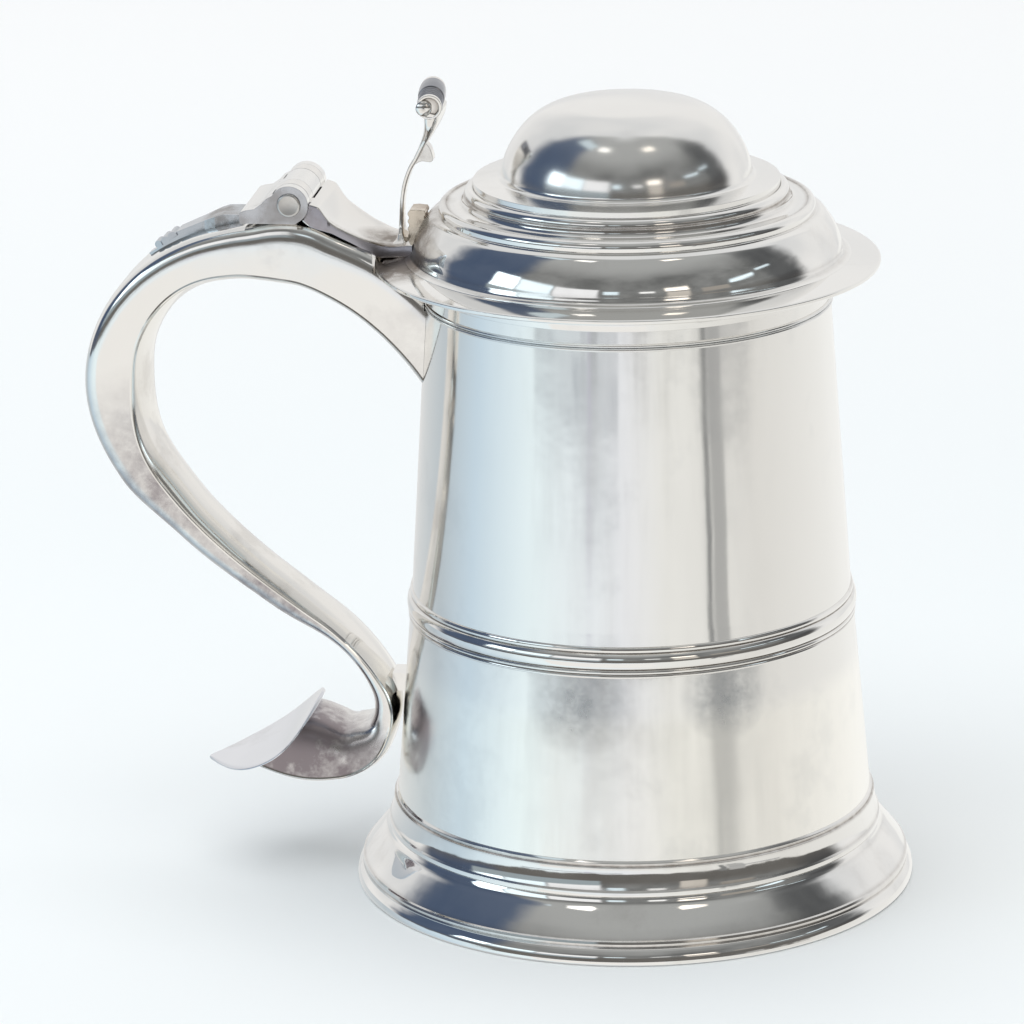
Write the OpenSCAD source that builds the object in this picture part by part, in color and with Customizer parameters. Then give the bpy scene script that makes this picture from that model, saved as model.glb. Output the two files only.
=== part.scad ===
// Lidded tankard: tapered drum on a spreading foot, hollow scroll handle,
// stepped domed lid on a five-knuckle hinge, upright thumbpiece.
// Millimetres, +Z up, origin at the centre of the foot's underside.
// The handle and the hinge are on the -X side. The hinge axis runs along Y.

/* [Drum] */
// radius of the drum at its lower end
drum_low_r = 58.3; // [57.5:0.1:58.6]
// radius of the drum just below the girdle
drum_mid_r = 54.0; // [53.6:0.1:54.2]
// radius of the drum at the mouth
drum_top_r = 47.8; // [47.2:0.1:48.2]
// height of the mouth above the table
mouth_z = 152.7; // [152.4:0.1:152.8]
// wall of the drum
drum_wall = 1.3; // [1.0:0.1:1.6]
// height of the middle of the girdle
girdle_z = 70.2; // [60:0.2:80]
// how far the girdle stands out from the drum
girdle_proud = 0.8; // [0.5:0.1:1.5]

/* [Foot] */
// radius of the foot where it meets the table
foot_r = 68; // [66:0.5:70]
// height of the wire along the foot's edge
foot_wire_h = 3.7; // [3:0.1:4.5]
// radius at the top of the foot's skirt
collar_r = 59.9; // [59.4:0.1:60.5]
// height of the top of the foot's skirt
collar_z = 14.1; // [13.5:0.1:14.5]

/* [Lid] */
// radius of the lid's flat rim
rim_r = 60.15; // [58:0.05:62]
// height of the underside of the lid's rim
rim_z = 152.9; // [152.9:0.1:153.4]
// sheet thickness of the lid
lid_wall = 1.2; // [1.0:0.1:1.5]
// gap between the locating ring and the drum
bezel_gap = 0.9; // [0.8:0.1:1.5]

/* [Hinge] */
// distance of the hinge axis from the drum's axis
hinge_x = 79; // [79:0.1:80]
// height of the hinge axis
hinge_z = 168.8; // [168.8:0.1:170]
// radius of the hinge barrel
barrel_r = 4.6; // [4.2:0.1:4.6]
// length of the hinge barrel
barrel_len = 27; // [24:0.5:28]
// radius of the hinge pin
pin_r = 1.7; // [1.4:0.1:2.2]
// running clearance of the pin in the lid's knuckles
pin_fit = 0.06; // [0.03:0.01:0.1]
// side gap between neighbouring knuckles
knuckle_gap = 0.12; // [0.08:0.02:0.3]

/* [Handle] */
// width of the handle at the hinge
handle_w_top = 26; // [24:0.5:27]
// width of the handle half way down
handle_w_mid = 22; // [19:0.5:24]
// width of the handle at the tail
handle_w_tail = 24.5; // [21:0.5:25]
// sheet thickness of the handle
handle_wall = 1.1; // [0.9:0.1:1.4]
// length of the shield that closes the tail
shield_len = 34; // [30:0.5:36]
// width of the shield
shield_w = 41; // [34:0.5:44]

/* [Hidden] */
$fn = 96;
drum_low_z = collar_z;

// A path made of arcs: each step is [length, turn in degrees], cut into n parts.
// Every point of the result is [x, z, heading].
function walk(x, z, h, steps, n, i = 0, k = 0) =
    i >= len(steps) ? [[x, z, h]] :
    let (l = steps[i][0] / n, t = steps[i][1] / n, m = h + t / 2)
    concat([[x, z, h]],
           walk(x + l * cos(m), z + l * sin(m), h + t, steps, n,
                k + 1 < n ? i : i + 1, k + 1 < n ? k + 1 : 0));

// The same path moved sideways by d, to the right of its heading.
function aside(p, d) = [for (q = p) [q[0] + d * sin(q[2]), q[1] - d * cos(q[2])]];

function flip(v) = [for (i = [len(v) - 1:-1:0]) v[i]];

function arc(cx, cz, r, a0, a1, n) =
    [for (i = [0:n]) [cx + r * cos(a0 + (a1 - a0) * i / n),
                      cz + r * sin(a0 + (a1 - a0) * i / n)]];

// The drum's outer radius at height z.
function drum_r(z) =
    z < 64 ? drum_low_r + (drum_mid_r - drum_low_r) * (z - drum_low_z) / (64 - drum_low_z)
    : z < 76 ? drum_mid_r + (drum_r(76) - drum_mid_r) * (z - 64) / 12
    : drum_top_r + 0.0652 * (mouth_z - z);

module turned(pts) {
    rotate_extrude()
        polygon(pts);
}

// ---------------------------------------------------------------- drum and foot

drum_line = [[drum_r(drum_low_z), drum_low_z], [drum_r(64), 64],
             [drum_r(76), 76], [drum_r(mouth_z), mouth_z]];

module drum() {
    color("silver")
        turned(concat(drum_line,
                      [for (p = flip(drum_line)) [p[0] - drum_wall, p[1]]]));
}

module drum_base() {
    r = drum_r(17) - drum_wall - 0.01;
    color("silver")
        turned([[0, 18.6], [0, 17.4], [r - 6, 16.2], [r, 16.2], [r, 17.4], [r - 5.6, 17.4]]);
}

module lip_rim() {
    z0 = 148.2;
    color("silver")
        turned([[drum_r(z0), z0], [drum_r(z0) + 0.45, z0 + 0.35],
                [drum_r(mouth_z) + 0.55, mouth_z - 0.4],
                [drum_r(mouth_z) + 0.3, mouth_z], [drum_r(mouth_z), mouth_z]]);
}

// Half-round reed of height h and projection p, seated on the drum at height z.
function reed(z, h, p) =
    [for (i = [0:8]) let (a = -90 + i * 22.5)
        [drum_r(z + h / 2 * sin(a)) + p * cos(a), z + h / 2 * sin(a)]];

module lip_moulding() {
    color("silver")
        turned(concat(reed(143.95, 0.9, 0.35), reed(144.9, 0.9, 0.35)));
}

module girdle_band() {
    z = girdle_z;
    color("silver")
        turned(concat(reed(z - 3.55, 0.9, girdle_proud * 0.45),
                      reed(z - 2.5, 1.1, girdle_proud * 0.6),
                      reed(z, 3.8, girdle_proud),
                      reed(z + 2.7, 1.5, girdle_proud * 0.55)));
}

module foot_collar() {
    z1 = 22.3;
    color("silver")
        turned([[drum_r(collar_z), collar_z], [collar_r, collar_z],
                [collar_r - 0.1, collar_z + 1.2], [collar_r - 0.5, collar_z + 1.5],
                [collar_r - 0.65, 18], [collar_r - 1.1, 20],
                [drum_r(21.2) + 0.45, 21.2], [drum_r(21.8) + 0.5, 21.8],
                [drum_r(z1), z1]]);
}

// Sloping skirt between the collar and the foot's wire.
skirt_out = [[collar_r, collar_z], [collar_r + 0.1, collar_z - 0.9],
             [collar_r + 0.7, 12.4], [collar_r + 1.9, 11.1], [collar_r + 3.3, 9.5],
             [collar_r + 4.8, 7.7], [collar_r + 6.35, 5.6], [collar_r + 6.6, 4.7],
             [collar_r + 6.9, foot_wire_h]];

module foot_skirt() {
    color("silver")
        turned(concat(skirt_out,
                      [[collar_r + 5.5, foot_wire_h], [collar_r + 4.5, 5.6],
                       [collar_r + 2.9, 7.8], [collar_r + 1.0, 10.0],
                       [collar_r - 1.2, 12.2], [56, 12.7], [56, collar_z]]));
}

module foot_wire() {
    color("silver")
        turned([[foot_r - 3, 0], [foot_r - 0.3, 0], [foot_r, 0.4], [foot_r - 0.1, 1.6],
                [foot_r - 1.0, 3.0], [foot_r - 1.1, foot_wire_h],
                [collar_r + 5.5, foot_wire_h]]);
}

// ---------------------------------------------------------------- handle

// Middle line from inside the drum's wall, over the shoulder, down and into the tail.
handle_steps = [[12, 4], [34.9, 19.0], [10.2, 30.9], [14.2, 12.2], [43.1, 75.3],
                [27.4, 41.7], [50.9, 16.8], [23.5, -31.7], [24.2, -118.3], [21, -16]];
parts_per_step = 7;
handle_line = walk(-40.3, 122, 127.6, handle_steps, parts_per_step);
rings = len(handle_line) - 1;

// Length along the middle line up to point i.
function step_sum(k) = k == 0 ? 0 : handle_steps[k - 1][0] + step_sum(k - 1);
function length_at(i) =
    let (k = floor(i / parts_per_step), u = (i % parts_per_step) / parts_per_step)
    step_sum(k) + (u > 0 ? handle_steps[k][0] * u : 0);

// Smooth blend between the [length, value] pairs of t.
function ease(s, t, i = 0) =
    i < len(t) - 2 && s > t[i + 1][0] ? ease(s, t, i + 1) :
    let (u = min(1, (s - t[i][0]) / (t[i + 1][0] - t[i][0])), v = u * u * (3 - 2 * u))
    t[i][1] + (t[i + 1][1] - t[i][1]) * v;

// Depth, extra height of the shoulder, width and squareness at length s.
function handle_d(s) = ease(s, [[0, 15], [54, 16.0], [80, 13.6], [114, 15.2], [136, 12.8],
                                [156, 10], [180, 8.6], [206, 5], [226, 6.6], [234, 11.5],
                                [248, 17.5], [262, 13]]);
function swell(s) = ease(s, [[0, 3], [34, 3.6], [48, 1.9], [62, 0], [262, 0]]);
function handle_w(s) = ease(s, [[0, 23], [44, handle_w_top], [66, handle_w_top - 0.4],
                                [122, handle_w_mid], [182, handle_w_mid - 2.6],
                                [224, handle_w_mid - 2], [246, handle_w_tail - 1],
                                [262, handle_w_tail]]);
function squareness(s) = ease(s, [[0, 3.2], [42, 3.8], [66, 3.6], [96, 2.3], [212, 2.3],
                                  [238, 5], [262, 5]]);
bulge = 0.17;

// Section points, [across, outward], of the rounded back and of the inner strip.
function back_pt(s, a, off) =
    let (w = handle_w(s) / 2 - off, n = squareness(s), c = cos(a), e = sin(a),
         d = handle_d(s) * (1 - bulge) + swell(s) - off)
    [sign(c) * w * pow(abs(c), 2 / n), d * pow(abs(e), 2 / n)];
function strip_pt(s, t, off, k) =
    [t * (handle_w(s) / 2 - off), -handle_d(s) * bulge * k * (1 - t * t)];
function place(q, s, p) =
    let (o = p[1] - handle_d(s) * (0.5 - bulge))
    [q[0] + o * sin(q[2]), p[0], q[1] - o * cos(q[2])];

back_parts = 12;
strip_parts = 8;
back_rings = [for (i = [0:rings]) let (q = handle_line[i], s = length_at(i))
    concat([for (j = [0:back_parts]) place(q, s, back_pt(s, 180 * j / back_parts, 0))],
           [for (j = [back_parts:-1:0])
               place(q, s, back_pt(s, 180 * j / back_parts, handle_wall))])];
strip_rings = [for (i = [0:rings]) let (q = handle_line[i], s = length_at(i))
    concat([for (j = [0:strip_parts])
               place(q, s, strip_pt(s, 2 * j / strip_parts - 1, 0, 1))],
           [for (j = [strip_parts:-1:0])
               place(q, s, strip_pt(s, 2 * j / strip_parts - 1, handle_wall, 0.3))])];

// Crest of the handle's back at ring i, as [x, z].
function crest(i, up) =
    let (q = handle_line[i], s = length_at(i),
         o = handle_d(s) / 2 + swell(s) + up)
    [q[0] + o * sin(q[2]), q[1] - o * cos(q[2])];

// Skin over rings of points whose second half runs back along the first.
module swept(r) {
    n = len(r[0]);
    m = len(r);
    polyhedron([for (ring = r) for (p = ring) p],
        concat([for (j = [0:n / 2 - 2]) [j, j + 1, n - 2 - j, n - 1 - j]],
               [for (i = [0:m - 2]) for (j = [0:n - 1])
                   [i * n + j, (i + 1) * n + j, (i + 1) * n + (j + 1) % n]],
               [for (i = [0:m - 2]) for (j = [0:n - 1])
                   [i * n + j, (i + 1) * n + (j + 1) % n, i * n + (j + 1) % n]],
               [for (j = [0:n / 2 - 2])
                   [(m - 1) * n + n - 1 - j, (m - 1) * n + n - 2 - j,
                    (m - 1) * n + j + 1, (m - 1) * n + j]]),
        convexity = 8);
}

// What the handle is cut back from: the drum with its lip, the lid's rim and the shield.
module handle_trim() {
    lip_z = 143.2;
    turned([[0, 100], [drum_r(100), 100], [drum_r(lip_z), lip_z],
            [drum_r(lip_z) + 0.6, lip_z], [drum_r(mouth_z) + 0.6, 152.3],
            [rim_r + 0.7, 152.3], [rim_r + 0.7, 166], [0, 166]]);
    intersection() {
        shield_frame()
            translate([0, 0, shield_bend])
                rotate([90, 0, 0])
                    cylinder(r = shield_bend + shield_t / 2, h = 60, center = true);
        translate([-120, -30, 15])
            cube([50, 60, 32]);
    }
}

module handle_back() {
    color("silver")
        difference() {
            swept(back_rings);
            handle_trim();
            translate([-hinge_x - 14, -20, seat_z])
                cube([22, 40, 8]);
            translate([0, 20, -0.4])
                rotate([90, 0, 0])
                    linear_extrude(40)
                        polygon(concat(strap_under, [[-50, 155.2], [-50, 172], [-76.5, 172]]));
        }
}

module handle_strip() {
    color("silver")
        difference() {
            swept(strip_rings);
            handle_trim();
        }
}

// Shield: a bent leaf, square to the tail, that closes it.
shield_t = 1.0;
shield_sag = 4.45;
shield_bend = (shield_len * shield_len / 4 + shield_sag * shield_sag) / (2 * shield_sag);
module shield_frame() {
    translate([-88.6, 0, 30.45])
        rotate([0, -31.5, 0])
            children();
}
function leaf(u) = shield_w / 2 * (1 - pow(abs(u), 2.95)) * (1 + 0.4 * u) / 1.07;

module handle_shield() {
    n = 12;
    half = [for (i = [-n:n]) let (u = sin(90 * i / n)) [u * shield_len / 2, leaf(u)]];
    color("silver")
        shield_frame()
            intersection() {
                translate([0, 0, shield_bend])
                    rotate([90, 0, 0])
                        difference() {
                            cylinder(r = shield_bend + shield_t / 2, h = 60, center = true);
                            cylinder(r = shield_bend - shield_t / 2, h = 61, center = true);
                        }
                translate([0, 0, -2])
                    linear_extrude(12)
                        polygon(concat(half,
                            [for (i = [len(half) - 2:-1:1]) [half[i][0], -half[i][1]]]));
            }
}

// Strut between the lower bend and the drum.
module handle_strut() {
    color("silver")
        difference() {
            translate([-58.6, -3.5, 45])
                cube([5, 7, 4.5]);
            rotate_extrude($fn = 720)
                polygon([[0, 30], [drum_r(30), 30], [drum_r(60), 60], [0, 60]]);
        }
}

// ---------------------------------------------------------------- hinge

seat_z = 164.2;
half_len = barrel_len / 2;
outer_knuckle = 3.2;
lid_knuckle = 4.6;
y_a = half_len - outer_knuckle;
y_b = y_a - lid_knuckle;

module hinge_axis(y0, y1, r) {
    translate([-hinge_x, y1, hinge_z])
        rotate([90, 0, 0])
            cylinder(r = r, h = y1 - y0);
}

module both_sides() {
    children();
    mirror([0, 1, 0])
        children();
}

// Plate on the handle with its three knuckles.
module hinge_plate() {
    base = [[-12, seat_z - hinge_z], [-12, -1.7], [-8.6, -1.2], [-4.8, 1.4], [-2.8, 3.4],
            [0, 0], [3.2, -3.1], [1.6, seat_z - hinge_z]];
    color("silver")
        difference() {
            union() {
                translate([-hinge_x, half_len, hinge_z])
                    rotate([90, 0, 0])
                        linear_extrude(barrel_len)
                            polygon(base);
                hinge_axis(-half_len, half_len, barrel_r);
            }
            both_sides()
                hinge_axis(y_b - knuckle_gap, y_a + knuckle_gap, barrel_r + 0.3);
            hinge_axis(-half_len - 1, half_len + 1, pin_r);
        }
}

module hinge_pin() {
    color("silver")
        hinge_axis(-half_len, half_len, pin_r);
}

module pin_caps() {
    color("silver")
        both_sides()
            translate([-hinge_x, half_len, hinge_z])
                rotate([-90, 0, 0])
                    turned([[0, 0], [2.9, 0], [2.9, 0.25], [2.6, 0.45], [0, 0.6]]);
}

// Drop on the handle's back, below the hinge plate, ending in beads and a point.
drop_from = 24;
drop_rise = [1.7, 2.2, 2.7, 2.5, 2.2, 1.9];
function crest_at(t, up) =
    let (i = floor(t), a = crest(i, up), b = crest(i + 1, up))
    a + (b - a) * (t - i);

module hinge_drop() {
    plan = [[-92, -5.6], [-98.5, -5.2], [-101.2, -4.2], [-108, -3.4], [-112, -2.6],
            [-118.5, -0.5]];
    n = len(drop_rise) - 1;
    color("silver")
        intersection() {
            union() {
                translate([0, 20, 0])
                    rotate([90, 0, 0])
                        linear_extrude(40)
                            polygon(concat(
                                [for (i = [0:n]) crest(drop_from + i, 0.02)],
                                [crest_at(drop_from + 6.2, 0.02), crest_at(drop_from + 6.2, 0.7),
                                 crest(drop_from + n, 1.0)],
                                [for (i = [n:-1:0]) crest(drop_from + i, drop_rise[i])]));
                for (i = [0:2])
                    let (p = crest_at(drop_from + 5.2 + 0.28 * i, 1.25))
                    translate([p[0], 3, p[1]])
                        rotate([90, 0, 0])
                            cylinder(r = 1.15 - 0.12 * i, h = 6);
            }
            translate([0, 0, 140])
                linear_extrude(40)
                    polygon(concat(plan, [for (p = flip(plan)) [p[0], -p[1]]]));
        }
}

// Strap from the lid over the handle's shoulder, with the lid's two knuckles.
strap_under = [[-76.5, 165.4], [-73.7, 163.3], [-69.5, 162.1], [-65.2, 159.6],
               [-62, 157.4], [-59.3, 155.7], [-57.5, 155.2]];
strap_over = [[-49.5, 155.2], [-49.5, 158.4], [-52.5, 158.2], [-57, 157.9], [-61.6, 159.5],
              [-66, 162.3], [-69.5, 165.2], [-71.7, 168.2], [-74, 169], [-76.5, 169.6]];

module hinge_strap() {
    plan = [[-79, -13.35], [-71, -13.3], [-66, -12], [-60, -9.4], [-55, -8.4], [-49, -9.4]];
    color("silver")
        difference() {
            union() {
                intersection() {
                    translate([0, 20, 0])
                        rotate([90, 0, 0])
                            linear_extrude(40)
                                polygon(concat(strap_under, strap_over));
                    translate([0, 0, 150])
                        linear_extrude(30)
                            polygon(concat(plan, [for (p = flip(plan)) [p[0], -p[1]]]));
                }
                both_sides()
                    hinge_axis(y_b, y_a, barrel_r);
            }
            hinge_axis(y_a, half_len + 1, barrel_r + 0.3);
            hinge_axis(-half_len - 1, -y_a, barrel_r + 0.3);
            hinge_axis(-y_b, y_b, barrel_r + 0.3);
            hinge_axis(-half_len - 1, half_len + 1, pin_r + pin_fit);
            lid_mass();
        }
}

// ---------------------------------------------------------------- lid

// Outline of the lid from the crown outwards.
crown_z = 193.2;
crown = walk(0, crown_z, 0, [[15.08, -12], [12.25, -39], [5.45, -13], [5.24, -10],
                             [5.75, 68], [2.6, 6]], 5);
crown_end = crown[len(crown) - 1];
step_r = 36.5;
step_out = concat([[step_r, 171.5], [step_r + 0.25, 171.9], [step_r + 0.8, 171.95]],
                  arc(step_r + 0.5, 170.5, 1.5, 70, 0, 4),
                  [[38.6, 169.8], [38.9, 169.4]],
                  arc(44.6, 172.6, 6.0, 215, 262, 5),
                  [[44.2, 166.4], [44.75, 166.2]]);
ovolo_out = [[44.75, 165.9], [45.1, 165.85], [46.1, 165.5], [47.25, 164.7], [48.3, 163.35],
             [49.3, 161.75], [50.05, 160.3], [50.6, 158.9], [50.95, 157.8], [51.15, 157.0],
             [51.3, 156.6], [51.8, 155.8], [53.2, 155.3]];
ovolo_in = [[50.25, 157.0], [49.8, 158.5], [49.2, 159.9], [48.5, 161.3], [47.6, 162.8],
            [46.6, 163.95], [45.6, 164.6], [44.75, 164.7]];

module lid_mass() {
    turned(concat([[0, rim_z]], [[0, crown_z]],
                  [for (i = [1:len(crown) - 1]) [crown[i][0], crown[i][1]]],
                  step_out, ovolo_out, [[53.2, 155.0], [rim_r, 154.0], [rim_r, rim_z]]));
}

module lid_dome() {
    color("silver")
        turned(concat([for (p = crown) [p[0], p[1]]], [[step_r - 0.02, crown_end[1] - lid_wall]],
                      [for (i = [len(crown) - 3:-1:1])
                          [crown[i][0] - lid_wall * sin(-crown[i][2]),
                           crown[i][1] - lid_wall * cos(crown[i][2])]],
                      [[0, crown_z - lid_wall]]));
}

module lid_step() {
    color("silver")
        turned(concat(step_out, [[44.75, 165.0], [42.6, 165.2], [40.2, 166.4],
                                 [38.2, 168.2], [37.2, 169.4], [step_r, 170.2]]));
}

module lid_ovolo() {
    color("silver")
        turned(concat(ovolo_out, [[53.2, 155.0], [50.0, 155.0]], ovolo_in));
}

module lid_rim() {
    color("silver")
        turned([[44.3, rim_z], [rim_r - 0.3, rim_z], [rim_r, rim_z + 0.3],
                [rim_r, rim_z + 0.9], [rim_r - 0.3, rim_z + 1.15], [53.2, 155.0],
                [50.0, 155.0], [50.0, rim_z + 1.2], [44.3, rim_z + 1.2]]);
}

module lid_bezel() {
    r = drum_r(150) - drum_wall - bezel_gap;
    color("silver")
        turned([[r - 1.1, 149.4], [r - 0.3, 149.4], [r, 149.9], [r, rim_z],
                [r - 1.1, rim_z]]);
}

// Palm of the strap, run on to the lid's rim and ovolo.
module strap_root() {
    plan = [[-58.6, -8.8], [-56, -10], [-51, -11], [-47, -8]];
    color("silver")
        difference() {
            translate([0, 0, 154])
                linear_extrude(1.2)
                    polygon(concat(plan, [for (p = flip(plan)) [p[0], -p[1]]]));
            lid_mass();
        }
}

// ---------------------------------------------------------------- thumbpiece

// Side outline of the stem, thickening into the roll at its head.
stem_left = [[-55.6, 157.8], [-54.7, 159.5], [-54.5, 161], [-54.2, 167.2], [-53.4, 171.6],
             [-52.0, 175.4], [-50.5, 178], [-48.6, 182], [-47.6, 185.2], [-47.3, 188.7]];
stem_right = [[-44.98, 190.68], [-44.1, 189.7], [-43.9, 187.6], [-45.0, 185],
              [-46.2, 183.4], [-47.6, 181.4], [-49.5, 178.2], [-51.1, 175.9],
              [-52.4, 171.7], [-53.15, 167.2], [-53.4, 161], [-53.0, 159.5],
              [-52.0, 157.8]];
curl_x = -46.35;
curl_z = 192.2;
curl_r = 3.25;
curl_y = 8.75;

// Front outline, [half width, height], that the stem is trimmed to.
stem_front = [[6.2, 157.8], [4.4, 159.5], [2.8, 161.6], [2.2, 168], [2.4, 174], [3.6, 179],
              [6.0, 183], [8.4, 187], [8.75, 191]];

module thumb_stem() {
    color("silver")
        intersection() {
            translate([0, 20, 0])
                rotate([90, 0, 0])
                    linear_extrude(40)
                        polygon(concat(stem_left, stem_right));
            translate([-70, 0, 0])
                rotate([90, 0, 90])
                    linear_extrude(40)
                        polygon(concat(stem_front,
                                       [for (p = flip(stem_front)) [-p[0], p[1]]]));
        }
}

// Places a thing made along the Y axis on the roll's own, slightly skewed, axis.
module on_roll() {
    translate([curl_x, 0, curl_z])
        rotate([3.1, 0, 4.9])
            children();
}

// Rolled head, cut into reeds.
module thumb_scroll() {
    color("silver")
        on_roll()
            for (i = [-2:2])
                translate([0, (i + 0.5) * curl_y * 0.4, 0])
                    rotate([90, 0, 0])
                        linear_extrude(curl_y * 0.4)
                            curl(i % 2 == 0 ? curl_r : curl_r - 0.35);
}

module curl(r) {
    polygon(concat(arc(0, 0, r, -48, 200, 14), arc(0, 0, r - 1.3, 200, -48, 14)));
}

module thumb_bosses() {
    color("silver")
        on_roll()
            translate([-1.3, curl_y + 0.9, -0.25])
                rotate([90, 0, 0])
                    turned([[0, 0], [1.3, 0], [1.9, 0.6], [1.9, 2 * curl_y + 1.2],
                            [1.3, 2 * curl_y + 1.8], [0, 2 * curl_y + 1.8]]);
}

// Spur behind the stem.
module thumb_bud() {
    color("silver")
        translate([0, 1.7, 0])
            rotate([90, 0, 0])
                linear_extrude(3.4)
                    polygon([[-47.6, 181.4], [-46.6, 180.3], [-46.0, 177.8], [-46.6, 177],
                             [-49.3, 177.2], [-51.1, 175.9], [-49.5, 178.2]]);
}

module thumb_bracket() {
    color("silver")
        difference() {
            union() {
                translate([-52.1, -1.5, 157.5])
                    cube([3.6, 6, 7]);
                for (z = [159.5, 161.5, 163.6])
                    translate([-52.4, -1.8, z])
                        cube([4.2, 6.6, 1]);
            }
            lid_mass();
        }
}

drum();
drum_base();
lip_rim();
lip_moulding();
girdle_band();
foot_collar();
foot_skirt();
foot_wire();
handle_back();
handle_strip();
handle_shield();
handle_strut();
hinge_drop();
hinge_plate();
hinge_pin();
pin_caps();
lid_dome();
lid_step();
lid_ovolo();
lid_rim();
lid_bezel();
hinge_strap();
strap_root();
thumb_stem();
thumb_scroll();
thumb_bosses();
thumb_bud();
thumb_bracket();
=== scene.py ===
import math

import bmesh
import bpy
import numpy as np
from mathutils import Matrix, Vector


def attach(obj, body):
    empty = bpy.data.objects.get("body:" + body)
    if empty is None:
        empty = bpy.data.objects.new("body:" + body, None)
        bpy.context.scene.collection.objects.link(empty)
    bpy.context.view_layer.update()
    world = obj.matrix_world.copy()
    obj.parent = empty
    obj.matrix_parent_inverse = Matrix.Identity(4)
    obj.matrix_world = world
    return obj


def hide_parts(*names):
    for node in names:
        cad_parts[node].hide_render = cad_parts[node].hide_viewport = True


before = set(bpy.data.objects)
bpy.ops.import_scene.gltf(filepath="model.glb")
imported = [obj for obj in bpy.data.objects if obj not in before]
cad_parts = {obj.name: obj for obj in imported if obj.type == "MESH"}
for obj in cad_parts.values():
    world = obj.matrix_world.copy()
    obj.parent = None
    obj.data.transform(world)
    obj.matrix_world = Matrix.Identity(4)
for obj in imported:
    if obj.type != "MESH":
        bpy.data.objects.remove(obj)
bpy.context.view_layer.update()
# Lengths below are in millimetres and angles in degrees, unless a name says otherwise.
# The camera, eight of the handle's ten steps and the shield's size and place are results of
# least-squares fits to the photograph, made by scratch programs. The outline points of lid,
# foot, stem and strap started from places in the photograph that a scratch program turned
# into millimetres, and many were then changed by hand.
MM = 0.001
FLOOR_WATTS = 64
FLOOR_RADIUS = 14  # metres
SCENE = bpy.context.scene
SCENE.view_settings.view_transform = "Standard"

# ------------------------------------------------------------------ camera
VIEW_AZ = 6.5
CAM_AZ, CAM_EL = math.radians(VIEW_AZ), math.radians(16.10)
CAM_DIST = 1311.1 * MM
AIM_Z = 104.615 * MM
PAN, TILT, ROLL = math.radians(1.2474), math.radians(-0.5670), math.radians(0.7160)
SENSOR, LENS = 36, 191.62


def add_camera():
    """Camera on the handle's near side, at the photograph's viewing angle."""
    eye = Vector((CAM_DIST * math.cos(CAM_EL) * math.sin(CAM_AZ),
                  -CAM_DIST * math.cos(CAM_EL) * math.cos(CAM_AZ),
                  CAM_DIST * math.sin(CAM_EL) + AIM_Z))
    fwd = (Vector((0, 0, AIM_Z)) - eye).normalized()
    right = Vector((math.cos(CAM_AZ), math.sin(CAM_AZ), 0))
    up = right.cross(fwd)
    pan = Matrix.Rotation(PAN, 3, up)
    fwd, right = pan @ fwd, pan @ right
    tilt = Matrix.Rotation(TILT, 3, right)
    fwd, up = tilt @ fwd, tilt @ up
    roll = Matrix.Rotation(ROLL, 3, fwd)
    right, up = roll @ right, roll @ up
    data = bpy.data.cameras.new("camera")
    data.sensor_width = SENSOR
    data.lens = LENS
    data.clip_start = 0.05
    data.clip_end = 60
    cam = bpy.data.objects.new("camera", data)
    cam.matrix_world = Matrix(((right.x, up.x, -fwd.x, eye.x), (right.y, up.y, -fwd.y, eye.y),
                               (right.z, up.z, -fwd.z, eye.z), (0, 0, 0, 1)))
    SCENE.collection.objects.link(cam)
    SCENE.camera = cam


add_camera()


# ------------------------------------------------------------------ node helpers
class Tree:
    """Thin wrapper that adds and links shader nodes."""

    def __init__(self, tree):
        self.tree = tree
        tree.nodes.clear()

    def new(self, kind, props=(), **inputs):
        n = self.tree.nodes.new(kind)
        for k, v in dict(props).items():
            setattr(n, k, v)
        for k, v in inputs.items():
            self.put(n, k.replace("_", " "), v)
        return n

    def put(self, n, key, v):
        sock = n.inputs[int(key[1:])] if key[0] == "i" and key[1:].isdigit() else n.inputs[key]
        if isinstance(v, bpy.types.NodeSocket):
            self.tree.links.new(v, sock)
        else:
            sock.default_value = v

    def math(self, op, a, b=0.0, c=0.0):
        return self.new("ShaderNodeMath", {"operation": op}, i0=a, i1=b, i2=c).outputs[0]

    def noise(self, vec, scale, detail=3.0, rough=0.5):
        n = self.new("ShaderNodeTexNoise", Vector=vec, Scale=scale, Detail=detail, Roughness=rough)
        return n.outputs[0]

    def ramp(self, fac, stops):
        n = self.new("ShaderNodeValToRGB", Fac=fac)
        el = n.color_ramp.elements
        while len(el) < len(stops):
            el.new(0.5)
        for e, (p, c) in zip(el, stops):
            e.position = p
            e.color = c if len(c) == 4 else (*c, 1)
        return n.outputs[0]

    def between(self, v, lo, hi, soft):
        """1 where lo < v < hi, fading over soft at both ends."""
        a = self.new("ShaderNodeMapRange", {"interpolation_type": "SMOOTHSTEP"}, Value=v,
                     From_Min=lo - soft / 2, From_Max=lo + soft / 2).outputs[0]
        b = self.new("ShaderNodeMapRange", {"interpolation_type": "SMOOTHSTEP"}, Value=v,
                     From_Min=hi - soft / 2, From_Max=hi + soft / 2, To_Min=1.0,
                     To_Max=0.0).outputs[0]
        return self.math("MULTIPLY", a, b)

    def mix(self, fac, a, b):
        n = self.new("ShaderNodeMix", {"data_type": "RGBA"}, Factor=fac)
        self.put(n, "i6", a)
        self.put(n, "i7", b)
        return n.outputs[2]


def grey(v, tint=(1, 1, 1)):
    """Colour of brightness v with a tint."""
    return (v * tint[0], v * tint[1], v * tint[2], 1)


# ------------------------------------------------------------------ surroundings
COOL, WARM = (0.80, 0.93, 1.0), (1.0, 0.93, 0.84)
PALE = (0.90, 0.955, 0.97, 1)
TABLE_EDGE = -6.2  # elevation of the pale table's far edge

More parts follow.
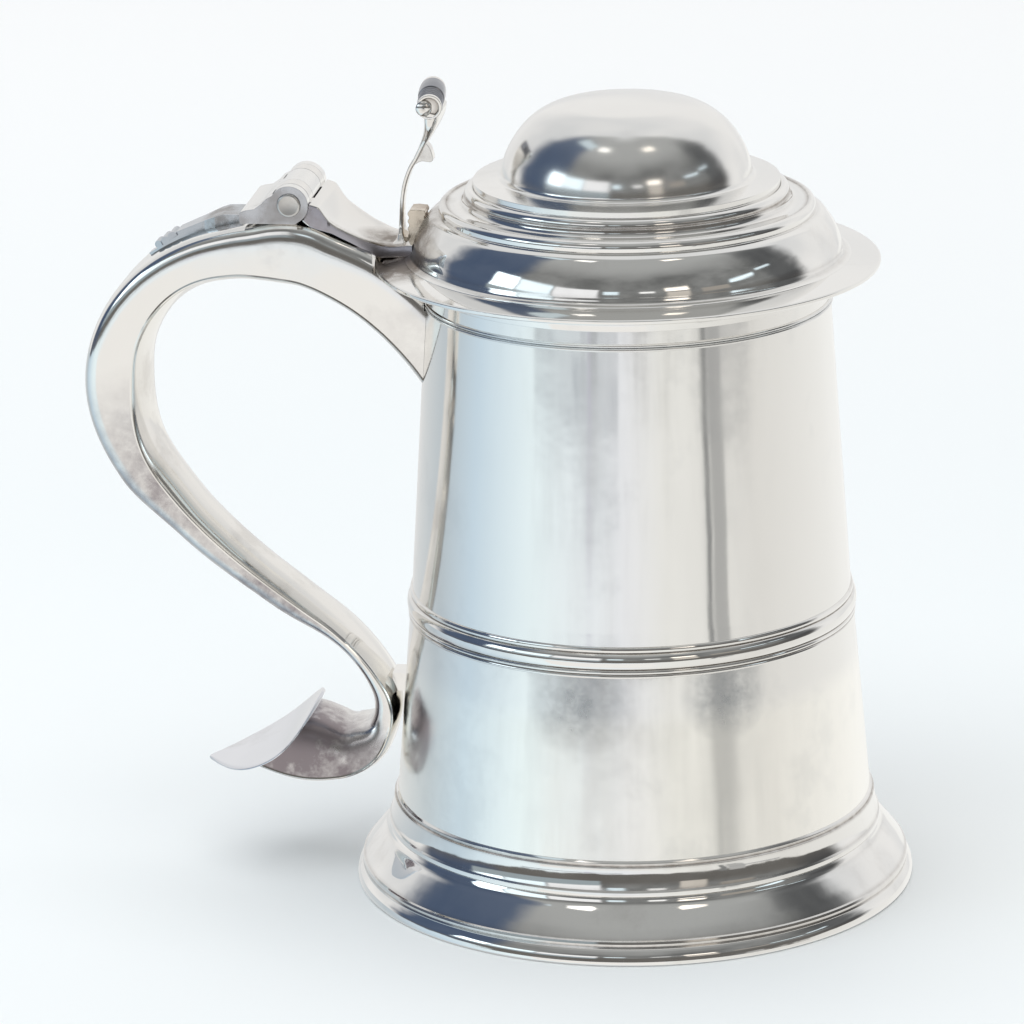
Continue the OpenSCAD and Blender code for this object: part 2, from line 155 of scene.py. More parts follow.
# azimuth from the camera's side, elevation, both in degrees, brightness, tint
WINDOWS = [(-79, -63, 8, 27, 2.3, COOL), (-62, -42, 8, 26, 1.35, COOL),
           (-41, -16, 9, 26, 1.0, (0.97, 0.98, 1.0)), (-13, -5, 15, 22, 1.1, COOL),
           (6, 14, 17, 21, 1.1, (1, 1, 1)), (20, 33, 19.5, 27, 1.7, WARM),
           (20.5, 33, 5, 17.5, 0.62, WARM), (58, 74, 22, 24.5, 1.4, COOL),
           (77, 88, 25, 27.5, 1.1, COOL), (40, 56, 12, 20, 0.36, WARM),
           (-80, -16, 2, 10, 0.42, COOL), (-50, -31, 62.5, 68.5, 1.7, (1.0, 0.98, 0.94)),
           (33, 52, 62.5, 68.5, 1.7, WARM), (-96, -60, 60, 68, 0.8, COOL)]
# the same, for soft darker things that stand on the pale table
SHADES = [(39.5, 44, -13, -5, 0.24, (0.98, 1, 1)), (45, 51, -13, -5, 0.46, (1, 1, 0.98)),
          (-52, -6, -8.5, -7.7, 0.36, (0.9, 0.98, 1.1)), (44, 72, -8.7, -7.6, 0.42, (1, 1, 1)),
          (-21, -19, -9.6, -7.2, 0.60, (0.95, 0.95, 1.1)),
          (-45, 12, -50, -12.8, 0.93, (1.015, 1.0, 0.973))]


def add_world():
    """What the metal reflects: a dim room with windows, standing on a pale table."""
    world = bpy.data.worlds.new("studio")
    SCENE.world = world
    world.use_nodes = True
    t = Tree(world.node_tree)
    d = t.new("ShaderNodeTexCoord").outputs["Generated"]
    xyz = t.new("ShaderNodeSeparateXYZ", Vector=d).outputs
    az = t.math("SUBTRACT", t.math("DEGREES", t.math("ARCTAN2", xyz[0],
                                                     t.math("MULTIPLY", xyz[1], -1.0))), VIEW_AZ)
    el = t.math("DEGREES", t.math("ARCSINE", xyz[2]))
    wob = t.math("MULTIPLY", t.math("SUBTRACT", t.noise(d, 4.0, 4.0), 0.5), 16.0)
    az_w = t.math("ADD", az, wob)
    el_w = t.math("ADD", el, t.math("MULTIPLY", wob, 0.4))
    # white room with a broad soft grey side behind the camera's back
    col = t.ramp(t.noise(d, 1.3, 2.0, 0.5), [(0.35, grey(0.74, (0.97, 0.985, 1))),
                                             (0.62, grey(0.90, (1, 0.995, 0.985)))])
    # dark room on the camera's side: blue at its left end, brown-grey near the table
    room = t.math("MULTIPLY", t.between(az_w, -112, 104, 13), t.between(el_w, -40, 86, 18))
    tone = t.ramp(t.noise(d, 2.4, 5.0, 0.6), [(0.30, grey(0.11, (0.97, 1, 1))),
                                              (0.64, grey(0.27, (0.98, 1, 0.99)))])
    high = t.between(el, 46, 100, 24)
    tone = t.mix(high, tone, grey(0.42, (0.98, 1, 0.99)))
    low = t.between(el, -60, 9, 12)
    tone = t.mix(t.math("MULTIPLY", low, 0.8), tone, grey(0.13, (1.05, 0.98, 0.90)))
    col = t.mix(room, col, tone)
    ends = t.math("MULTIPLY", t.between(az_w, -114, -66, 16), t.between(el_w, -4, 66, 20))
    col = t.mix(t.math("MULTIPLY", ends, 0.85), col, grey(0.12, (0.50, 0.80, 1.45)))
    ends = t.math("MULTIPLY", t.between(az_w, 82, 106, 14), t.between(el_w, -4, 55, 20))
    col = t.mix(t.math("MULTIPLY", ends, 0.7), col, grey(0.06, (0.95, 1, 1.1)))
    for a0, a1, e0, e1, power, tint in WINDOWS:
        w = t.math("MULTIPLY", t.between(az, a0, a1, 2.2), t.between(el, e0, e1, 2.0))
        col = t.mix(w, col, grey(power, tint))
    # pale table, cooler to the left, warmer to the right
    table = t.ramp(t.math("ADD", t.math("DIVIDE", az, 360.0), 0.5),
                   [(0.02, (0.80, 0.80, 0.79, 1)), (0.17, (0.53, 0.60, 0.65, 1)),
                    (0.245, (0.62, 0.76, 0.87, 1)), (0.35, (0.90, 1.02, 1.06, 1)),
                    (0.49, (0.90, 0.92, 0.955, 1)), (0.55, (0.90, 0.90, 0.87, 1)),
                    (0.70, (0.80, 0.79, 0.76, 1)), (0.90, (0.95, 0.95, 0.93, 1))])
    col = t.mix(t.between(el_w, -100, TABLE_EDGE, 1.6), col, table)
    for a0, a1, e0, e1, power, tint in SHADES:
        w = t.math("MULTIPLY", t.between(az_w, a0, a1, 2.0), t.between(el, e0, e1, 0.7))
        col = t.mix(w, col, grey(power, tint))
    seen = t.new("ShaderNodeLightPath").outputs["Is Camera Ray"]
    col = t.mix(seen, col, PALE)
    out = t.new("ShaderNodeOutputWorld")
    back = t.new("ShaderNodeBackground", Color=col, Strength=1.0)
    t.tree.links.new(back.outputs[0], out.inputs["Surface"])


add_world()


def add_area(name, place, aim, size, watts, tint):
    """Soft box, in metres, that lights the floor but is not seen in the metal."""
    light = bpy.data.lights.new(name, "AREA")
    light.shape = "RECTANGLE"
    light.size, light.size_y = size
    light.energy = watts
    light.color = tint
    o = bpy.data.objects.new(name, light)
    o.location = place
    o.rotation_euler = (Vector(aim) - Vector(place)).to_track_quat("-Z", "Y").to_euler()
    o.visible_glossy = False
    SCENE.collection.objects.link(o)


add_area("softbox_top", (-0.15, -0.55, 2.6), (0, 0, 0), (3.2, 3.2), FLOOR_WATTS, (0.98, 0.995, 1.0))
add_area("softbox_left", (-1.5, -0.6, 1.2), (0, 0, 0.05), (1.2, 1.2), 3, (0.80, 0.92, 1.0))


def floor_material():
    """Plain pale sheet with a faint unevenness."""
    m = bpy.data.materials.new("pale_floor")
    m.use_nodes = True
    t = Tree(m.node_tree)
    at = t.new("ShaderNodeTexCoord").outputs["Object"]
    tone = t.ramp(t.noise(at, 1.3, 2.0), [(0.3, (0.82, 0.85, 0.86)), (0.7, (0.845, 0.86, 0.865))])
    # whiter away from the tankard
    gap = t.new("ShaderNodeVectorMath", {"operation": "LENGTH"}, Vector=at).outputs["Value"]
    tone = t.mix(t.between(gap, 0.75, 99.0, 1.1), tone, (0.99, 0.985, 0.985, 1))
    b = t.new("ShaderNodeBsdfPrincipled", Base_Color=tone, Roughness=0.55)
    b.inputs["Specular IOR Level"].default_value = 0.25
    out = t.new("ShaderNodeOutputMaterial")
    t.tree.links.new(b.outputs[0], out.inputs["Surface"])
    return m


def add_floor():
    """Wide round floor that the metal does not reflect."""
    bm = bmesh.new()
    bmesh.ops.create_circle(bm, cap_ends=True, radius=FLOOR_RADIUS, segments=128)
    me = bpy.data.meshes.new("floor")
    bm.to_mesh(me)
    bm.free()
    o = bpy.data.objects.new("floor", me)
    o.location = (0, 0, -0.0002)
    o.visible_glossy = False
    me.materials.append(floor_material())
    SCENE.collection.objects.link(o)


add_floor()


# ------------------------------------------------------------------ metal
def tarnish_and_shade_spot(t, at, x, y, z, size, amount):
    """Mottled dark spot round a point, fading out at its size: tarnish at some places, painted shade
    and painted reflection at others.
    """
    gap = t.new("ShaderNodeVectorMath", {"operation": "DISTANCE"}, Vector=at)
    gap.inputs[1].default_value = (x * MM, y * MM, z * MM)
    near = t.math("SUBTRACT", 1.0, t.math("DIVIDE", gap.outputs["Value"], size * MM))
    near = t.math("MULTIPLY", t.math("MAXIMUM", near, 0.0), amount)
    mottle = t.math("MULTIPLY", t.noise(at, 260.0, 5.0, 0.65), 1.7)
    return t.math("MULTIPLY", near, t.math("ADD", mottle, -0.15))


def metal(name, tint, rough, wave, tarnish, speckle=0.35, tarnish_and_shade_spots=(),
          tarnish_and_shade_colour=(0.23, 0.185, 0.15, 1), haze_and_sheen=None):
    """Polished metal: waviness of hand work, brushed haze, and darkening in the hollows that is partly
    brown tarnish and partly painted shade.

    rough and wave are the surface's roughness and the depth of its waviness, tarnish
    and speckle the strength of the tarnish blotches and the haze; the spots are (x, y, z, size,
    amount) in the dark colour, some tarnish and some painted shade and painted reflection;
    and the band is (bottom, top, extra roughness) of a hazier stretch painted lighter and
    warmer, a painted reflection.
    """
    m = bpy.data.materials.new(name)
    m.use_nodes = True
    t = Tree(m.node_tree)
    at = t.new("ShaderNodeTexCoord").outputs["Object"]
    cre = t.new("ShaderNodeAttribute", {"attribute_name": "hollow_tarnish_and_shade"}).outputs["Fac"]
    blotch = t.noise(at, 38.0, 6.0, 0.62)
    fine = t.noise(at, 420.0, 4.0, 0.6)
    flat = t.new("ShaderNodeMapping", Vector=at)
    flat.inputs["Scale"].default_value = (260, 260, 22)
    streak = t.noise(flat.outputs[0], 1.0, 3.0, 0.6)
    tarnish_and_spots = t.math("MULTIPLY", t.between(blotch, 0.60, 2.0, 0.16), tarnish)
    # mottled spots: tarnish at some, painted shade and painted reflection at others
    for spot in tarnish_and_shade_spots:
        tarnish_and_spots = t.math("MAXIMUM", tarnish_and_spots, t.math("MINIMUM", tarnish_and_shade_spot(t, at, *spot), 0.95))
    # darkening in the hollows: partly tarnish, partly painted shade
    uneven = t.math("ADD", t.math("MULTIPLY", fine, 1.1), 0.25)
    edge = t.math("MULTIPLY", t.math("POWER", cre, 1.6), uneven)
    tarnish_and_shade = t.math("MINIMUM", t.math("ADD", tarnish_and_spots, edge), 1.0)
    base = t.mix(blotch, (*[c * 0.965 for c in tint], 1), (*tint, 1))
    # the band's lighter, warmer colour is a painted reflection; its extra roughness is haze
    if haze_and_sheen:
        z = t.new("ShaderNodeSeparateXYZ", Vector=at).outputs[2]
        worn = t.between(z, haze_and_sheen[0] * MM, haze_and_sheen[1] * MM, 8 * MM)
        base = t.mix(worn, base, (0.99, 0.975, 0.93, 1))
    # tarnish, and the painted shade and painted reflection of hollows and spots, in the dark colour
    col = t.mix(tarnish_and_shade, base, tarnish_and_shade_colour)
    r = t.math("ADD", rough, t.math("MULTIPLY", t.math("SUBTRACT", streak, 0.45), speckle * 0.16))
    r = t.math("ADD", r, t.math("MULTIPLY", tarnish_and_shade, 0.3))
    if haze_and_sheen:
        r = t.math("ADD", r, t.math("MULTIPLY", worn, haze_and_sheen[2]))
    r = t.math("MAXIMUM", r, 0.015)
    slow = t.noise(at, 34.0, 1.0, 0.4)
    mid = t.noise(at, 110.0, 2.0, 0.5)
    h = t.math("ADD", t.math("MULTIPLY", slow, 1.0), t.math("MULTIPLY", mid, 0.12))
    h = t.math("ADD", h, t.math("MULTIPLY", fine, 0.012 * speckle))
    bump = t.new("ShaderNodeBump", Height=h, Strength=1.0, Distance=wave * MM)
    b = t.new("ShaderNodeBsdfPrincipled", Base_Color=col, Roughness=r, Normal=bump.outputs[0])
    b.inputs["Metallic"].default_value = 1.0
    out = t.new("ShaderNodeOutputMaterial")
    t.tree.links.new(b.outputs[0], out.inputs["Surface"])
    return m


SILVER = (0.90, 0.89, 0.87)
# The drum's two spots low on its front are painted dark reflections in its bluish-grey dark colour,
# which also tints its tarnish and hollows; its band from -20 to 56 mm is painted lighter and warmer, a
# painted reflection, with extra haze.
M_DRUM = metal("silver_drum", SILVER, 0.085, 0.16, 0.10, 0.9,
               ((-6, -53, 60, 14, 0.9), (27, -46, 61, 12, 0.9)), (0.42, 0.45, 0.48, 1),
               (-20, 56, 0.075))
ROOT_STAIN = ((-53, -13, 155, 19, 2.3), (-53, 13, 155, 19, 2.3), (-47, -4, 163, 9, 1.2))
M_LID = metal("silver_lid", SILVER, 0.05, 0.10, 0.08, 0.4, ROOT_STAIN)
M_DOME = metal("silver_dome", SILVER, 0.15, 0.14, 0.08, 0.5)
M_FOOT = metal("silver_foot", SILVER, 0.045, 0.12, 0.12, 0.4)
# The handle gets darker mottled spots on its tail, along its lower limb and at its top.
M_HANDLE = metal("silver_handle", (0.90, 0.89, 0.865), 0.09, 0.22, 0.16, 0.6,
                 ((-84, -12, 36, 27, 2.2), (-68, -9, 24, 17, 1.6), (-54, 0, 165, 9, 1.0),
                  (-88, -12, 66, 32, 1.2), (-112, -12, 96, 34, 0.95)), (0.30, 0.255, 0.27, 1))
M_STRIP = metal("silver_strip", (0.89, 0.87, 0.835), 0.08, 0.30, 0.20, 0.6)
M_LEAF = metal("silver_leaf", (0.80, 0.81, 0.85), 0.12, 0.22, 0.15, 0.6)
M_HINGE = metal("silver_hinge", (0.90, 0.89, 0.87), 0.13, 0.10, 0.25, 0.6)
M_DROP = metal("silver_drop", (0.50, 0.53, 0.57), 0.16, 0.60, 0.8, 1.0)
M_ROOT = metal("silver_root", (0.72, 0.64, 0.54), 0.20, 0.55, 0.9, 1.0, (),
               (0.42, 0.33, 0.26, 1))
# The strap's two spots are painted shade in its hollowed top.
M_STRAP = metal("silver_strap", (0.88, 0.86, 0.83), 0.12, 0.30, 0.30, 0.8,
                ((-57, 0, 158.5, 8.5, 1.7), (-57, -9, 157, 7, 1.8)))
# darker copies of the silver for the side faces of hinge plate and strap: painted shade
M_SHADED_CHEEK = metal("silver_cheek_painted_shade", (0.60, 0.61, 0.64), 0.22, 0.25, 0.45, 1.0)
M_SHADED_WEDGE = metal("silver_wedge_painted_shade", (0.40, 0.39, 0.43), 0.20, 0.25, 0.6, 1.0)
M_THUMB = metal("silver_thumb", (0.86, 0.84, 0.81), 0.10, 0.12, 0.35, 0.6)
M_ROLL = metal("silver_roll", (0.24, 0.25, 0.28), 0.16, 0.12, 0.35, 0.6)
M_PIN = metal("silver_pin", (0.74, 0.735, 0.72), 0.24, 0.20, 0.30, 1.0)


# ------------------------------------------------------------------ profiles, in millimetres
def spline(pts, n=10):
    """Smooth line through points."""
    p = np.array(pts, float)
    out = []
    for i in range(len(p) - 1):
        a, b, c, d = p[max(i - 1, 0)], p[i], p[i + 1], p[min(i + 2, len(p) - 1)]
        for t in np.linspace(0, 1, n, endpoint=False):
            out.append(0.5 * (2 * b + (c - a) * t + (2 * a - 5 * b + 4 * c - d) * t * t
                              + (3 * b - a - 3 * c + d) * t ** 3))
    out.append(p[-1])
    return [tuple(q) for q in out]


def arc(cx, cz, r, a0, a1, n=12, rz=None):
    """Points on an arc, or on part of an ellipse when rz is given."""
    rz = r if rz is None else rz
    return [(cx + r * math.cos(math.radians(a0 + (a1 - a0) * i / n)),
             cz + rz * math.sin(math.radians(a0 + (a1 - a0) * i / n))) for i in range(n + 1)]


def rounded(pts, radius=0.12):
    """Replaces each real corner of an outline by a small arc."""
    n = len(pts)
    out = []
    for i, p in enumerate(pts):
        p, r = (p[:2], p[2]) if len(p) > 2 else (p, radius)
        a = np.array(pts[i - 1][:2], float)
        b = np.array(p, float)
        c = np.array(pts[(i + 1) % n][:2], float)
        la, lc = np.linalg.norm(a - b), np.linalg.norm(c - b)
        if la < 1e-6 or lc < 1e-6:
            continue
        u, v = (a - b) / la, (c - b) / lc
        turn = math.pi - math.acos(max(-1, min(1, float(u @ v))))
        if turn < math.radians(9) or b[0] < 1e-6:
            out.append(tuple(b))
            continue
        cut = min(r * math.tan(turn / 2), 0.45 * la, 0.45 * lc)
        steps = max(2, int(math.degrees(turn) / 15))
        for k in range(steps + 1):
            w = k / steps
            out.append(tuple(b + u * cut * (1 - w) ** 2 + v * cut * w ** 2))
    return out


def drum_r(z):
    """Outer radius of the drum at height z."""
    if z < 64:
        return 58.3 - 4.3 * (z - 14.1) / 49.9
    if z < 76:
        return 54.0 - 1.2 * (z - 64) / 12
    return 47.8 + 0.0652 * (152.7 - z)


def finish_piece(o, body, mat, replaced):
    """Material, body and the CAD nodes this piece stands for."""
    o.data.materials.append(mat)
    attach(o, body)
    if replaced:
        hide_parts(*replaced)
    return o


def mesh_object(name, verts, faces, normals=None, hollow_tarnish_and_shade=None):
    """Smooth-shaded object from points in metres."""
    me = bpy.data.meshes.new(name)
    me.from_pydata([tuple(v) for v in verts], [], faces)
    me.polygons.foreach_set("use_smooth", [True] * len(me.polygons))
    # per-point darkness of the hollows, partly tarnish and partly painted shade
    if hollow_tarnish_and_shade is not None:
        at = me.attributes.new("hollow_tarnish_and_shade", "FLOAT", "POINT")
        at.data.foreach_set("value", np.asarray(hollow_tarnish_and_shade, np.float32))
    if normals is not None:
        me.normals_split_custom_set_from_vertices([tuple(n) for n in normals])
    me.update()
    o = bpy.data.objects.new(name, me)
    SCENE.collection.objects.link(o)
    return o


def lathe(name, outline, body, mat, replaced, segs=288, reach=1.1,
          depth=1.0, across=None):
    """Turned piece from a closed outline of (radius, height) points."""
    p = np.array(outline, float)
    area = 0.5 * np.sum(p[:, 0] * np.roll(p[:, 1], -1) - np.roll(p[:, 0], -1) * p[:, 1])
    if area > 0:
        p = p[::-1]
    keep = [i for i in range(len(p)) if np.linalg.norm(p[i] - p[i - 1]) > 1e-4]
    p = p[keep]
    n = len(p)
    t = np.roll(p, -1, 0) - p
    seg_n = np.stack([-t[:, 1], t[:, 0]], 1)
    nrm = seg_n + np.roll(seg_n, 1, 0)
    nrm /= np.linalg.norm(nrm, axis=1)[:, None] + 1e-12
    # how dark each point's hollow gets: partly tarnish, partly painted shade
    cre = hollow(p, reach) * depth
    verts, faces, norms, cr = [], [], [], []
    index = {}
    for i in range(n):
        if p[i, 0] < 1e-5:
            index[i] = [len(verts)] * segs
            verts.append((0, 0, p[i, 1] * MM))
            norms.append((0, 0, 1 if nrm[i, 1] > 0 else -1))
            cr.append(cre[i])
            continue
        index[i] = list(range(len(verts), len(verts) + segs))
        for k in range(segs):
            a = 2 * math.pi * k / segs
            verts.append((p[i, 0] * math.cos(a) * MM, p[i, 0] * math.sin(a) * MM, p[i, 1] * MM))
            norms.append((nrm[i, 0] * math.cos(a), nrm[i, 0] * math.sin(a), nrm[i, 1]))
            cr.append(cre[i])
    for i in range(n):
        j = (i + 1) % n
        if p[i, 0] < 1e-5 and p[j, 0] < 1e-5:
            continue
        for k in range(segs):
            m = (k + 1) % segs
            f = [index[i][k], index[i][m], index[j][m], index[j][k]]
            f = [v for q, v in enumerate(f) if v not in f[:q]]
            faces.append(f[::-1])
    if across:
        verts = [(x + across[0] * MM, z, across[1] * MM - y) for x, y, z in verts]
        norms = [(x, z, -y) for x, y, z in norms]
    o = mesh_object(name, verts, faces, norms, cr)
    return finish_piece(o, body, mat, replaced)


def hollow(p, reach):
    """0 on open faces, up to 1 in the hollow corners of an outline."""
    n = len(p)
    out = np.zeros(n)
    for i in range(n):
        a, b, c = p[i - 1], p[i], p[(i + 1) % n]
        u, v = b - a, c - b
        turn = math.degrees(math.atan2(u[0] * v[1] - u[1] * v[0], u @ v))
        if turn > 4:
            gap = np.linalg.norm(p - b, axis=1)
            out = np.maximum(out, np.clip(turn / 22, 0, 1) * np.clip(1 - gap / reach, 0, 1))
    return out


# ------------------------------------------------------------------ drum
def reed(z, h, p, n=10):
    """Half-round reed of height h that stands p out of the drum."""
    return [(drum_r(z + h / 2 * math.sin(a)) + p * math.cos(a), z + h / 2 * math.sin(a))
            for a in [math.radians(90 - 180 * i / n) for i in range(n + 1)]]


DRUM_WALL = 1.3
GIRDLE_Z = 70.2


def add_drum():
    """Tapered wall, inner bottom, and the edge and lines at the mouth."""
    outside = spline([(58.3, 14.1), (56.15, 39), (53.98, 64), (53.3, 70.5), (52.79, 77)], 8)[:-1] \
        + spline([(52.79, 77), (50.3, 114), (47.8, 152.2)], 6)
    inside = [(r - DRUM_WALL, z) for r, z in outside[::-1]]
    lathe("drum_wall", rounded(outside + [(47.78, 152.7), (46.55, 152.7)] + inside, 0.25),
          "tankard", M_DRUM, ["drum"], segs=360)
    lathe("drum_bottom", rounded([(0, 18.6), (20, 18.3), (40, 17.7), (50.2, 17.4), (55.2, 17.6, 0.3),
                                  (56.7, 18.4), (56.7, 16.1), (50, 16.1), (0, 17.2)], 0.6),
          "tankard", M_DRUM, ["drum_base"])
    lathe("mouth_edge", rounded([(drum_r(148.2) - 0.4, 148.1), (drum_r(148.2) + 0.42, 148.35, 0.2),
                                 (drum_r(150) + 0.62, 150, 1.0), (drum_r(152) + 0.55, 152.3, 0.3),
                                 (drum_r(152) + 0.2, 152.7, 0.3), (drum_r(152) - 0.4, 152.7)], 0.1),
          "tankard", M_DRUM, ["lip_rim"])
    lathe("mouth_lines", rounded(reed(144.9, 0.9, 0.4) + reed(143.95, 0.9, 0.4)
                                 + [(drum_r(143.4) - 0.4, 143.3), (drum_r(145.5) - 0.4, 145.5)], 0.06),
          "tankard", M_DRUM, ["lip_moulding"])


def add_girdle():
    """Band of reeds round the drum."""
    lathe("girdle", rounded([(drum_r(74) - 0.5, 73.9)] + reed(GIRDLE_Z + 2.75, 1.5, 0.48)
                            + reed(GIRDLE_Z, 3.8, 0.95, 20) + reed(GIRDLE_Z - 2.5, 1.1, 0.5)
                            + reed(GIRDLE_Z - 3.55, 0.95, 0.34) + [(drum_r(66) - 0.5, 66.0)], 0.06),
          "tankard", M_FOOT, ["girdle_band"], reach=0.6)


add_drum()
add_girdle()


# ------------------------------------------------------------------ foot
def add_foot():
    """Collar, sloping skirt and the wire it stands on."""
    lathe("foot_collar_ring",
          rounded([(drum_r(22.4) - 0.5, 22.5), (drum_r(22.3) + 0.12, 22.35, 0.1),
                   (drum_r(21.8) + 0.55, 21.9, 0.25), (drum_r(21.2) + 0.5, 21.2, 0.1)]
                  + spline([(58.62, 20.9), (58.72, 19.6), (58.98, 17.9), (59.3, 16.6), (59.6, 15.7)], 6)
                  + [(59.95, 15.25, 0.2), (60.02, 14.25, 0.15), (59.6, 13.95), (57.2, 13.95),
                     (57.0, 22.4)], 0.1),
          "tankard", M_FOOT, ["foot_collar"])
    slope = spline([(60.05, 13.6), (60.55, 12.5), (61.75, 11.2), (63.15, 9.6), (64.65, 7.8),
                    (66.2, 5.75)], 7)
    lathe("foot_skirt_ring",
          rounded([(59.2, 14.0), (59.85, 14.0, 0.1)] + slope
                  + [(66.6, 5.5, 0.08), (66.75, 4.9, 0.15), (66.62, 4.35, 0.15), (66.85, 3.6)]
                  + [(65.4, 3.6), (64.4, 5.6), (62.8, 7.8), (60.9, 10.0), (58.7, 12.2), (56.0, 12.7),
                     (56.0, 14.0)], 0.2),
          "tankard", M_FOOT, ["foot_skirt"])
    lathe("foot_wire_ring",
          rounded([(65.4, 3.75), (66.7, 3.8, 0.1)]
                  + spline([(67.05, 3.35), (67.75, 2.2), (68.0, 1.0)], 5)
                  + [(67.95, 0.35, 0.3), (67.6, 0, 0.3), (65.0, 0, 0.3)], 0.2),
          "tankard", M_FOOT, ["foot_wire"])


add_foot()


# ------------------------------------------------------------------ lid
def trace(x, z, h, steps, parts, fine):
    """Points [x, z, heading, length so far] along arcs given as (length, turn) steps."""
    out = [(x, z, h, 0.0)]
    s = 0.0
    for length, turn in steps:
        chord, t = length / parts, turn / parts
        for _ in range(parts):
            for k in range(1, fine + 1):
                f = k / fine
                if abs(t) < 1e-6:
                    d = chord * f
                else:
                    d = chord * math.sin(math.radians(f * t / 2)) / math.sin(math.radians(t / 2))
                m = math.radians(h + f * t / 2)
                out.append((x + d * math.cos(m), z + d * math.sin(m), h + f * t, s + chord * f))
            x, z, h, s = out[-1]
    return out


LID_WALL = 1.2
BEZEL_GAP = 0.9


def add_dome():
    """Dome as an open shell, down to its lower edge inside the step."""
    crown = trace(0, 193.2, 0, [(15.08, -12), (12.25, -39), (5.45, -13), (5.1, -17), (0.5, 0),
                                (1.9, 75)], 5, 4)
    x, z, h, s = crown[-1]
    crown.append((36.42, z + (36.42 - x) * math.tan(math.radians(h)), h, s + 4))
    crown_xz = [(q[0], q[1]) for q in crown]
    under = [(max(q[0] + LID_WALL * math.sin(math.radians(q[2])), 0.0),
              q[1] - LID_WALL * math.cos(math.radians(q[2]))) for q in crown[-24:0:-2]
             if q[3] < 40]
    lathe("lid_dome_shell", rounded(crown_xz[:-1] + [(36.42, crown_xz[-1][1], 0.1), (36.42, 171.0),
                                                     (31.5, 171.6)] + under + [(0, 192.0)], 0.15),
          "lid", M_DOME, ["lid_dome"], segs=360)


def add_step():
    """Small roll, cove and second roll below the dome."""
    top = [(36.2, 171.0), (36.5, 171.95, 0.1), (36.75, 172.12, 0.1)] \
        + arc(36.95, 170.6, 1.55, 88, 0, 10) + [(38.52, 170.2, 0.1), (38.75, 170.05, 0.1)] \
        + spline([(38.8, 169.9), (38.95, 169.1), (39.5, 168.45), (40.8, 168.1), (42.9, 168.1)], 8) \
        + [(43.0, 168.3, 0.1)] + arc(43.15, 166.9, 1.58, 84, 0, 10) + [(44.72, 166.15, 0.1)]
    lathe("lid_step_ring",
          rounded(top + [(44.6, 165.9), (43.6, 165.9), (42.6, 166.6), (39.6, 167.0),
                         (38.2, 168.0), (37.2, 169.2), (36.2, 170.2)], 0.12),
          "lid", M_LID, ["lid_step"], segs=360)


def add_ovolo():
    """Large quarter-round of the lid."""
    outside = [(44.2, 165.95, 0.1), (44.95, 165.95, 0.1)] \
        + spline([(45.1, 165.86), (46.1, 165.5), (47.25, 164.7), (49.3, 161.75), (50.6, 158.9),
                  (51.15, 157.0)], 9) \
        + [(51.3, 156.65, 0.15)] + spline([(51.35, 156.5), (51.75, 155.75), (52.9, 155.3)], 5) \
        + [(53.15, 155.2, 0.1)]
    lathe("lid_ovolo_shell", rounded(outside + [(53.25, 154.9), (50.0, 154.9)]
                                     + arc(44.3, 157.6, 5.3, 0, 78, 14, 6.6) + [(44.3, 164.8)], 0.12),
          "lid", M_LID, ["lid_ovolo"], segs=360)


def add_rim():
    """Flat rim, and the locating ring that sits inside the mouth."""
    lathe("lid_rim_flange", rounded([(44.3, 152.9), (44.3, 154.1), (50.0, 154.1), (50.0, 155.05),
                                     (53.1, 155.1, 0.2), (56.8, 154.55, 3.0), (59.8, 154.1, 0.25),
                                     (60.15, 153.85, 0.2), (60.15, 153.2, 0.3), (59.85, 152.9, 0.3)],
                                    0.15),
          "lid", M_LID, ["lid_rim"], segs=360)
    inner = drum_r(150) - DRUM_WALL - BEZEL_GAP
    lathe("lid_locating_ring",
          rounded([(inner - 1.1, 149.4, 0.4), (inner - 0.2, 149.4, 0.3), (inner, 149.9, 0.4),
                   (inner, 152.95), (inner - 1.1, 152.95)], 0.1),
          "lid", M_LID, ["lid_bezel"])


add_dome()
add_step()
add_ovolo()
add_rim()


# ------------------------------------------------------------------ handle
def ease(s, table):
    """Value of a (distance, value) table at s, level at every point."""
    i = 0
    while i < len(table) - 2 and s > table[i + 1][0]:
        i += 1
    u = min(1, (s - table[i][0]) / (table[i + 1][0] - table[i][0]))
    return table[i][1] + (table[i + 1][1] - table[i][1]) * u * u * (3 - 2 * u)


# The handle's middle line, from inside the drum's wall to the tail, and then tables of
# (distance along it, value): depth of the section, how far the outer crest swells past
# half the depth, width, squareness of the outer sheet, depth of the inner strip as a
# share of the section's, and how near the side edge lies to the middle line.
HANDLE = trace(-40.3, 122, 127.6, [(12, 4), (34.9, 19.0), (10.2, 30.9), (14.2, 12.2),
                                   (43.1, 75.3), (27.4, 41.7), (50.9, 16.8), (23.5, -31.7),
                                   (24.2, -118.3), (21, -16)], 7, 5)
DEPTH = [(0, 15), (54, 16.0), (80, 13.6), (114, 15.2), (136, 12.8), (156, 10), (180, 8.6),
         (206, 5), (226, 6.6), (234, 11.5), (248, 17.5), (262, 13)]
SWELL = [(0, 3), (34, 3.6), (48, 1.9), (62, 0), (262, 0)]
WIDTH = [(0, 23), (44, 26), (66, 25.6), (122, 22), (182, 19.4), (224, 20), (246, 23.5),
         (262, 24.5)]
SQUARE = [(0, 7), (42, 8), (66, 7.5), (100, 6), (150, 3.4), (182, 2.5), (212, 2.5), (238, 5),
          (262, 5)]
BULGE = [(0, 0.17), (104, 0.17), (156, 0.36), (206, 0.36), (234, 0.17), (262, 0.17)]
